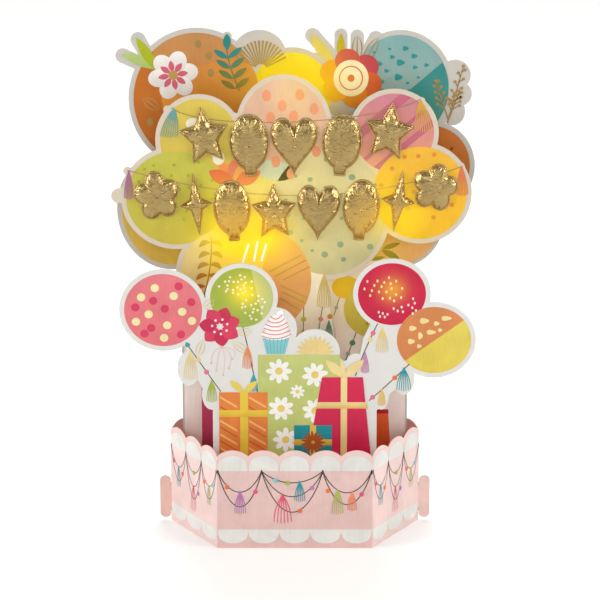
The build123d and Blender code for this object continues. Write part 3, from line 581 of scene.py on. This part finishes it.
# Puffed foil pieces
# Thirteen shapes welded from two layers of gold metallised film and blown up, then glued on in two rows.
# The film is taut in the middle and creases where it runs into the flat welded edge.
def foil_edge_line(kind, half_width, half_height):
    """Outline as a closed line of 120 points at equal steps, rounded by a moving average. Star: ten corners
    at reach 1 or 0.52. Sparkle: four tips and four waists. Flower: five arcs of radius 0.42 round centres at
    0.58. Heart: x = sin^3 q, z by sums of cosines. Balloon: an arc on a short flat knot."""
    turn = np.radians(90 + 36 * np.arange(10))
    petals = np.linspace(0, 2 * np.pi, 240, endpoint=False)
    if kind == "star":
        reach = np.where(np.arange(10) % 2 == 0, 1.0, 0.52)
        line = np.stack([reach * np.cos(turn), reach * np.sin(turn)], -1)
    elif kind == "sparkle":
        waist_x, waist_z = 0.36, 0.36 * half_width / half_height
        line = np.array([(1, 0), (waist_x, waist_z), (0, 1), (-waist_x, waist_z),
                         (-1, 0), (-waist_x, -waist_z), (0, -1), (waist_x, -waist_z)])
    elif kind == "flower":
        near = (petals - np.pi / 2 + np.pi / 5) % (2 * np.pi / 5) - np.pi / 5
        reach = 0.58 * np.cos(near) + np.sqrt(0.42 ** 2 - (0.58 * np.sin(near)) ** 2)
        line = np.stack([reach * np.cos(petals), reach * np.sin(petals)], -1)
    elif kind == "heart":
        line = np.stack([np.sin(petals) ** 3,
                         (13 * np.cos(petals) - 5 * np.cos(2 * petals) - 2 * np.cos(3 * petals)
                          - np.cos(4 * petals) + 2.5) / 14.5], -1)
    else:
        knot = 0.3 * half_width / half_height
        swing = np.radians(np.linspace(-72, 252, 160))
        line = np.stack([np.cos(swing), knot / 2 + (1 - knot / 2) * np.sin(swing)], -1)
        line = np.vstack([line, [(-0.3, -1.0), (0.3, -1.0)]])
    line = np.vstack([line, line[:1]]) * (half_width, half_height)
    along = np.concatenate([[0], np.cumsum(np.linalg.norm(np.diff(line, axis=0), axis=1))])
    steps = np.linspace(0, along[-1], 120, endpoint=False)
    line = np.stack([np.interp(steps, along, line[:, k]) for k in (0, 1)], -1)
    return (np.roll(line, 1, 0) + 2 * line + np.roll(line, -1, 0)) / 4


def puff(name, kind, x, z, half_width, half_height, tilt, rise=3.35, weld=0.3):
    """Puffed shape: p(r, t) = centre + r edge(t), lifted by weld + (rise - weld) (1 - r^3)^0.6 and creases,
    which are waves along the edge where r nears the weld; the back is flat."""
    line = foil_edge_line(kind, half_width, half_height)
    line = np.vstack([line, line[:1]])
    dome_end, weld_start, headroom, film_gap = 0.92, 0.94, 0.2, 0.02
    front_rings = [*np.linspace(0, dome_end, 22), weld_start, 0.96, 0.98, 1.0]
    share = np.array([*front_rings, 1.0, 0.5, 0.0])
    r, t = np.meshgrid(share, np.linspace(0, 2 * np.pi, len(line)), indexing="ij")
    front = np.arange(len(share))[:, None] < len(front_rings)
    dome = np.clip(1 - (r / weld_start) ** 3, 0, None) ** 0.6
    seed = sum(ord(letter) for letter in name)
    wave = (np.sin(19 * t + seed) * 0.5 + np.sin(31 * t + 2.1 * seed + 4 * r) * 0.35
            + np.sin(47 * t - seed) * 0.25)
    crease = 0.30 * wave * np.exp(-((r - 0.82) / 0.13) ** 2)
    ripple = 0.07 * np.sin(7 * t + 5 * r + seed) * np.sin(11 * r + seed) * (r < dome_end)
    height = np.where(front, weld + (rise - weld - headroom) * dome + (crease + ripple) * (dome > 0), 0.0)
    height = np.clip(height, 0.0, rise)
    c, s = np.cos(np.radians(tilt)), np.sin(np.radians(tilt))
    flat = r[..., None] * line[None]
    a = x + flat[..., 0] * c - flat[..., 1] * s
    b = z + flat[..., 0] * s + flat[..., 1] * c
    y = cloud_y - half_card - height - film_gap * (height <= 0)
    points = np.stack([a, y, b], -1).reshape(-1, 3) / 1000
    mesh = bpy.data.meshes.new(name)
    mesh.from_pydata(points, [], grid_faces(r.shape).tolist())
    close_up(mesh, solid=True)
    mesh.polygons.foreach_set("use_smooth", np.ones(len(mesh.polygons), bool))
    mesh.materials.append(gold_film)
    piece = stand(name, mesh)
    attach(piece, "card")
    return piece


# Metallised polyester film: bright metal whose gold comes from a lacquer. Its wrinkles, long folds and finer
# upright lines, are drawn coarser than real ones, which are too fine to show
gold_film, shader, place = new_material("gold metallised polyester film")
tone = add(gold_film, "ShaderNodeTexNoise", {"Vector": place, "Scale": 260, "Detail": 4})
dull_gold, bright_gold = (*linear("#A48850"), 1), (*linear("#BFA56C"), 1)
ramp = add(gold_film, "ShaderNodeMix", {0: tone.outputs[0], 6: dull_gold, 7: bright_gold}, data_type="RGBA")
foil_lamps = [(-26.0, 140.0, 15.0, 0.55), (-8.0, 137.0, 10.0, 0.55), (36.0, 142.0, 13.0, 0.55)]
light_up(gold_film, shader, place, ramp.outputs[2], foil_lamps, "#EDB21C")
shader.inputs["Metallic"].default_value = 1.0
shader.inputs["Roughness"].default_value = 0.21
shader.inputs["Coat Weight"].default_value = 0.35
shader.inputs["Coat Roughness"].default_value = 0.14
upright = add(gold_film, "ShaderNodeMapping", {0: place, 3: (1.0, 1.0, 0.12)})
lines = add(gold_film, "ShaderNodeTexNoise", {"Vector": upright.outputs[0], "Scale": 1500, "Detail": 2})
across = add(gold_film, "ShaderNodeMapping", {0: place, 3: (0.32, 1.0, 1.0)})
crinkle = add(gold_film, "ShaderNodeTexNoise", {"Vector": across.outputs[0], "Scale": 760, "Detail": 3,
                                                "Distortion": 1.0})
where = add(gold_film, "ShaderNodeTexNoise", {"Vector": place, "Scale": 110, "Detail": 1})
share = add(gold_film, "ShaderNodeMapRange", {0: where.outputs[0], 1: 0.42, 2: 0.62, 3: 0.4, 4: 1.0})
folds = times(gold_film, crinkle.outputs[0], share.outputs[0])
first = add(gold_film, "ShaderNodeBump", {"Height": folds, "Strength": 0.8, "Distance": 0.0007})
second = add(gold_film, "ShaderNodeBump", {"Height": lines.outputs[0], "Strength": 0.7, "Distance": 0.00018,
                                           "Normal": first.outputs[0]})
join(gold_film, second.outputs[0], shader, "Normal")

foil_pieces = [
    ("star", -38.9, 181.0, 11.6, 14.0, 8), ("balloon", -19.6, 177.4, 8.8, 14.0, 3),
    ("heart", -0.2, 176.6, 10.4, 13.2, 0), ("balloon", 20.4, 177.6, 8.8, 14.0, -4),
    ("star", 40.6, 183.0, 11.6, 14.0, -8), ("flower", -59.8, 154.6, 10.4, 11.4, 10),
    ("sparkle", -42.8, 150.8, 7.4, 14.4, 6), ("balloon", -27.2, 148.0, 8.2, 13.8, 4),
    ("star", -8.9, 147.0, 10.6, 13.4, 2), ("heart", 10.4, 146.8, 9.6, 12.8, -2),
    ("balloon", 28.8, 148.4, 8.2, 13.8, -4), ("sparkle", 45.0, 152.4, 7.6, 14.4, -8),
    ("flower", 61.0, 158.4, 10.2, 11.0, -12),
]
counts = {}
for kind, *sizes in foil_pieces:
    counts[kind] = counts.get(kind, 0) + 1
    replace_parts(puff(f"puffed_{kind}_{counts[kind]}", kind, *sizes), f"foil_{kind}_{counts[kind]}")


# Front scene
# The lowest die-cut sheet of coated card, in front of the clouds: balloons, gifts, a cupcake and garlands.
# Two small lamps behind it light the green and the crimson balloon.
scene_gap = 12.0
scene_y = cloud_y - scene_gap
scene_lamps = [(-21.6, 114.6, 6.5, 0.85), (42.6, 115.6, 5.6, 0.45)]
coat(nodes["front_scene"], bare_card("white coated card, front", "#DEDCD6", [(-22.0, 114.0, 12.0, 0.12)]))
scene = []

# Four balloons with their dots and flecks
lay(scene, 1, ("#E07A80", "#DE7076"), oval(-57.3, 106.3, 17.0, 16.5, rings=4, rim=60))
lay(scene, 2, "#EADFA4", dots([(-60.8, 116.4), (-52.6, 112.8), (-66.8, 112.2), (-63.6, 104.4), (-69.2, 101.0),
                               (-55.6, 99.4), (-49.0, 105.6), (-57.0, 93.6), (-44.8, 101.4)], 1.85))
lay(scene, 2, "#D33E5C", dots([(-56.6, 107.0), (-50.4, 117.2), (-69.4, 107.6), (-61.6, 110.6), (-45.0, 110.0),
                               (-62.6, 98.2), (-49.6, 95.2), (-65.6, 95.6)], 1.85))
lay(scene, 1, ("#9FAE3A", "#9FB04C"), oval(-23.1, 112.0, 13.7, 13.5, rings=4, rim=52))
lay(scene, 2, "#BCC27A", band(-23.1, 112.0, 13.6, 13.4, 0.5, 1.0, 12))
lay(scene, 3, "#F2E6CC", dots(scatter(21, 24, 0.22, (-25.6, 117.8), (7.6, 4.6)), 0.55))
lay(scene, 3, "#F2E6CC", dots(scatter(22, 20, 0.24, (-18.0, 107.4), (5.6, 6.0)), 0.55))
lay(scene, 1, ("#CA1F42", "#C41A40"), oval(42.3, 113.6, 14.8, 14.1, rings=4, rim=52))
lay(scene, 2, "#E6DCA4", dots(scatter(23, 18, 0.3, (38.2, 116.6), (9.0, 6.4)), 0.45, 1.5))
lay(scene, 2, "#EFE2D8", dots(scatter(24, 12, 0.36, (48.6, 108.6), (6.0, 4.6)), 0.45, 1.4))
lay(scene, 2, "#EFE2D8", dots([(37.2, 103.4), (38.4, 104.8), (39.2, 103.2), (36.6, 105.4), (40.4, 104.4)],
                              0.45, 1.4))
lay(scene, 1, ("#D48650", "#D07E4A"), oval(60.8, 92.6, 16.2, 15.2, rings=4, rim=52))
lay(scene, 2, ("#DECB5A", "#DCC44E"), band(60.8, 92.6, 16.2, 15.2, 0.02, 1.0, -52))
lay(scene, 3, "#EBD798", [oval(x, z, a, b, lobes=3, depth=0.12, rings=1, rim=20) for x, z, a, b in
                          ((51.4, 98.0, 1.6, 1.2), (56.4, 101.4, 2.0, 1.3), (61.8, 100.2, 1.2, 1.0),
                           (66.0, 102.6, 2.2, 1.1), (54.8, 94.6, 1.0, 1.6), (59.4, 96.2, 2.0, 1.1),
                           (50.8, 92.0, 1.5, 1.2), (54.4, 89.8, 1.0, 0.9), (63.4, 97.2, 0.9, 0.8))])

# Red flower of seven petals, its gilt leaves and its hanging threads
red_flower = (-32.6, 98.8)
for n in range(7):
    turn = np.radians(360 / 7 * n + 20)
    tone = ("#D23C5C", "#C42A50")[n % 2]
    lay(scene, 4, tone, leaf(around(red_flower, 1.2, turn), around(red_flower, 9.2, turn), 6.4))
    lay(scene, 5, "#F2E4E0", dots([around(red_flower, 3.4, turn)], 0.55))
for root, tip in (((-40.0, 92.6), (-42.4, 85.0)), ((-27.4, 92.0), (-20.4, 86.6)),
                  ((-25.6, 96.0), (-18.0, 96.6)), ((-39.8, 107.0), (-35.0, 111.4))):
    lay(scene, 4, "#E0C88A", [leaf(root, tip, 0.4, bow) for bow in (1.7, -1.7, 0.0)], 0.4)
thread_ends = [(-36.4, 82.0), (-34.2, 78.6), (-31.4, 76.6), (-28.8, 79.6), (-27.2, 84.0)]
lay(scene, 2, "#E2BDB4", [strip([(-32.0, 89.4), (x + 0.8, (89.4 + z) / 2 + 1), (x, z)], 0.3, steps=6)
                          for x, z in thread_ends])
lay(scene, 2, "#E2BDB4", dots(thread_ends, 0.55))

# Cupcake in its pleated case, and the half sun beside it
lay(scene, 3, "#86C6C8", block((-12.4, 86.2), (-4.2, 86.2), (-2.4, 93.6), (-14.0, 93.6)))
lay(scene, 4, "#5FA9AE", [strip([(-8.3 + 0.72 * k, 86.3), (-8.3 + k, 93.5)], 0.3, steps=2)
                          for k in (-4.4, -2.7, -0.9, 0.9, 2.7, 4.4)])
lay(scene, 3, "#F6F2EC", [oval(-8.3, 95.0, 6.4, 2.4), oval(-8.0, 98.4, 5.4, 2.5), oval(-7.4, 101.8, 3.8, 2.4),
                          leaf((-7.2, 102.0), (-5.6, 106.6), 3.0)])
lay(scene, 4, "#DE6478", [strip([(-8.2 - a, z), (-8.0, z - 1.3), (-7.8 + a, z + 0.8)], 0.42, steps=12)
                          for a, z in ((6.2, 94.6), (5.9, 96.4), (5.2, 98.2), (4.6, 100.0), (3.6, 101.8),
                                       (2.4, 103.6))])
half_sun = (8.9, 86.2)
lay(scene, 3, "#E8CE8A", [leaf(around(half_sun, 1.6, q), around(half_sun, 8.6, q), 1.9)
                          for q in np.radians(np.arange(8, 180, 16.4))], 0.25)
lay(scene, 4, "#E8CE8A", band(*half_sun, 3.4, 3.4, 0.0, 1.0, 90), 0.25)

# Green box with daisies
sheet_foot = 1.5
# The box darkens towards the bottom: painted shade inside the sleeve.
lay(scene, 4, ("#C0C676", "#B2BC62"), box(-16.1, 19.8, sheet_foot, 85.9))
for n, (x, z, size) in enumerate([(-6.9, 78.3, 5.6), (8.9, 76.6, 5.6), (-6.0, 61.0, 5.6), (9.0, 60.0, 5.6),
                                  (-4.0, 46.4, 5.6), (1.2, 68.8, 3.2), (17.0, 68.0, 3.2)]):
    lay(scene, 5, "#F0EEE6", [oval(*around((x, z), 0.62 * size, np.radians(q)), 0.4 * size, 0.22 * size, q,
                                   rings=1, rim=20) for q in np.arange(11 * n, 360 + 11 * n, 45)])
    lay(scene, 6, "#E6C86A", oval(x, z, 0.3 * size, 0.3 * size, rings=1, rim=16))

# Orange box with slanted stripes, a yellow ribbon and its bow
# The box and its ribbon darken towards the bottom: painted shade inside the sleeve.
lay(scene, 7, ("#E0803C", "#DC7430"), box(-33.2, -11.9, sheet_foot, 68.5))
lay(scene, 8, "#EDB468", [block((a, z), (a + 0.1, z - 1.1), (a + 7.6, z - 5.7), (a + 7.4, z - 4.6), (3, 3))
                          for a in (-32.8, -20.2) for z in (66.8, 55.8, 49.4, 43.0)])
lay(scene, 8, "#B85A2C", [block((a, z), (a + 0.1, z - 0.7), (a + 7.6, z - 5.3), (a + 7.4, z - 4.6), (3, 3))
                          for a in (-32.8, -20.2) for z in (62.2, 52.6, 46.2)])
lay(scene, 9, ("#E4C440", "#D8B234"), [box(-24.0, -20.5, sheet_foot, 68.5), box(-33.2, -11.9, 57.1, 60.2)])
lay(scene, 9, "#E2C858", [leaf((-22.4, 68.4), (-28.4, 74.0), 3.0), leaf((-22.2, 68.4), (-16.4, 73.8), 3.0)])

# Red tapered box with a cream ribbon and its bow
# The box and its cream ribbon darken towards the bottom: painted shade inside the sleeve.
lay(scene, 10, ("#D0264E", "#BC1240"), block((-0.4, sheet_foot), (37.2, sheet_foot), (29.9, 75.5),
                                             (11.9, 75.5)))
lay(scene, 11, ("#EBD494", "#D8AE62"), [box(20.2, 23.0, sheet_foot, 75.5),
                                        block((9.4, 61.0), (32.2, 61.0), (31.6, 63.9), (9.9, 63.9))])
lay(scene, 11, "#E8D090", [leaf((21.6, 75.6), (13.6, 83.4), 4.2), leaf((21.6, 75.6), (30.4, 83.6), 4.2),
                           leaf((21.6, 76.0), (20.4, 83.4), 2.2)])

# Small teal box with a star bow
star_bow = (8.1, 45.2)
# The box and its ribbons darken towards the bottom: painted shade inside the sleeve.
lay(scene, 12, ("#1C8A94", "#0F636C"), box(-0.3, 16.4, sheet_foot, 53.2))
lay(scene, 13, ("#E0B84A", "#C79430"), [box(6.7, 9.4, sheet_foot, 53.2), box(-0.3, 16.4, 43.8, 46.6)])
lay(scene, 14, "#A8501C", [leaf(around(star_bow, 0.6, q), around(star_bow, 5.6, q), 1.3)
                           for q in np.radians(np.arange(0, 360, 24))])

# Balloon strings with their beads and tassels
lines = [[(-47.6, 91.6), (-40.6, 81.0), (-32.4, 68.8)], [(-22.6, 98.6), (-19.4, 84.0), (-16.4, 68.4)],
         [(36.2, 100.2), (30.8, 88.0), (26.6, 76.0)], [(50.2, 81.6), (41.0, 72.4), (32.6, 64.6)]]
lay(scene, 2, cord, [strip(points, 0.42) for points in lines])
for colour, centres in (("#3E9AA4", [(-46.8, 90.4)]), ("#E4CC8C", [(-42.2, 83.6), (33.0, 92.8)]),
                        ("#E06C86", [(-38.6, 77.8), (34.2, 95.8), (34.2, 66.2)]),
                        ("#E8703A", [(43.8, 75.2)])):
    lay(scene, 4, colour, dots(centres, 1.1))
for colour, x, z, length, spread in (("#E6CC8C", -45.6, 87.2, 13.0, 2.9), ("#A8B43C", -36.4, 73.8, 10.0, 2.2),
                                     ("#E8905C", -20.6, 89.6, 10.4, 2.2), ("#3E9AA4", -18.0, 76.6, 8.0, 1.8),
                                     ("#E8CC84", 38.2, 98.0, 11.4, 2.6), ("#C88AB0", 30.8, 86.6, 9.4, 1.6),
                                     ("#2E97A2", 47.8, 79.6, 10.6, 3.0), ("#E2BC68", 38.2, 69.6, 7.6, 1.6)):
    tassel(scene, 3, colour, x, z, length, spread, 7)
scene_print = print_card("front_scene_print", scene, (0, scene_y - half_card, 0), (1, 0, 0),
                         printed_ink("offset print on the front sheet", scene_lamps), lift=0.02)


# Spacers
# Folded strips of plain white card that hold the sheets apart and fold flat with the card.
# They are cut from the same board as the sheets, left unprinted, scored, and glued by their end flaps.
plain_card = bare_card("plain white card", "#ECEBE7")
for name in nodes:
    if "spacer" in name:
        coat(nodes[name], plain_card)


# Light and sound module
# A moulded cover and tray are glued behind the press disc. They hold the board, its chip, the speaker,
# three cells and the switch, and small lamps on white wires reach from it to the sheets.
def dress(names, name, colour, roughness, metallic=0.0, height_mm=0.01):
    """Give CAD nodes one finish: a colour that varies a little, and a fine surface grain."""
    material, shader, place = new_material(name)
    join(material, mottled(material, place, colour, 300, 4, 0.92), shader, "Base Color")
    shader.inputs["Metallic"].default_value = metallic
    shader.inputs["Roughness"].default_value = roughness
    tooth(material, place, shader, 0.3, height_mm)
    for node in names:
        coat(nodes[node], material)


dress(["module_cover", "module_tray"], "matt moulded ABS", "#E8E7E2", roughness=0.5, height_mm=0.02)
dress(["press_button", "switch_actuator"], "moulded acetal", "#DEDDD8", roughness=0.4)
dress(["switch_body"], "moulded black nylon", "#1C1C1E", roughness=0.5)
dress(["circuit_board"], "green glass laminate", "#2C5E3A", roughness=0.35)
dress(["sound_chip"], "black epoxy drop", "#0E0E10", roughness=0.2)
dress(["speaker"], "pressed steel", "#9A9A98", metallic=1.0, roughness=0.38)
dress(["button_cell_1", "button_cell_2", "button_cell_3"], "nickel plated steel", "#BDBCB8", metallic=1.0,
      roughness=0.22)
dress(["back_contact", "front_contact"], "sheet brass", "#C2A05A", metallic=1.0, roughness=0.3)
dress([f"light_{n}" for n in range(1, 6)], "lamp on a white board", "#F2E6B4", roughness=0.3)
dress([f"light_wire_{n}" for n in range(1, 6)], "white PVC insulation", "#E6E4DE", roughness=0.42)


# Floor, light and camera
# A plain white table top under soft light from large windows all round.
# The camera looks a little down on the card, as in the photograph.
table_top, shader, _ = new_material("white table top")
shader.inputs["Base Color"].default_value = (*linear("#F4F4F2"), 1)
shader.inputs["Roughness"].default_value = 0.6
# To the camera alone the floor shines a little, so that it looks as white as the photograph's
path = add(table_top, "ShaderNodeLightPath")
floor_glow = 0.13
shader.inputs["Emission Color"].default_value = (1, 1, 1, 1)
join(table_top, times(table_top, path.outputs["Is Camera Ray"], floor_glow), shader, "Emission Strength")
floor_mesh = bpy.data.meshes.new("table_top")
floor_mesh.from_pydata([(-4, -4, 0), (4, -4, 0), (4, 6, 0), (-4, 6, 0)], [], [(0, 1, 2, 3)])
floor_mesh.materials.append(table_top)
floor = stand("table_top", floor_mesh)

room_light = 0.37
world = bpy.data.worlds.new("studio")
bpy.context.scene.world = world
world.use_nodes = True
background = world.node_tree.nodes["Background"]
background.inputs[0].default_value = (1, 1, 1, 1)
background.inputs[1].default_value = room_light


def soft_light(name, place, target, size, power):
    """Square area lamp that faces a target."""
    lamp = bpy.data.lights.new(name, "AREA")
    lamp.size = size
    lamp.energy = power
    holder = stand(name, lamp)
    holder.location = place
    holder.rotation_euler = (Vector(target) - Vector(place)).to_track_quat("-Z", "Y").to_euler()


soft_light("left window", (-1.7, -0.6, 0.8), (0, 0, 0.1), 0.9, 20)
soft_light("right window", (1.7, -0.6, 0.8), (0, 0, 0.1), 0.9, 18)
soft_light("front window", (0.0, -1.7, 0.9), (0, 0, 0.1), 0.9, 5)
soft_light("back window", (0.0, 1.3, 1.3), (0, 0, 0.05), 0.9, 8)
soft_light("top", (0.1, 0.4, 1.5), (0, 0, 0.1), 0.8, 5)

eye, target = Vector((0.002314, -1.393625, 0.557494)), Vector((0.002314, 0.036, 0.10343))
# The focal length comes from the fit of the base's corners to the photograph, in its pixels
focal_pixels, image_pixels = 3391.1, 600
lens = bpy.data.cameras.new("camera")
lens.sensor_width = 36.0
lens.lens = focal_pixels / image_pixels * lens.sensor_width
lens.clip_start = 0.05
lens.clip_end = 20.0
camera = stand("camera", lens)
camera.location = eye
camera.rotation_euler = (target - eye).to_track_quat("-Z", "Y").to_euler()
bpy.context.scene.camera = camera
bpy.context.scene.view_settings.view_transform = "Standard"
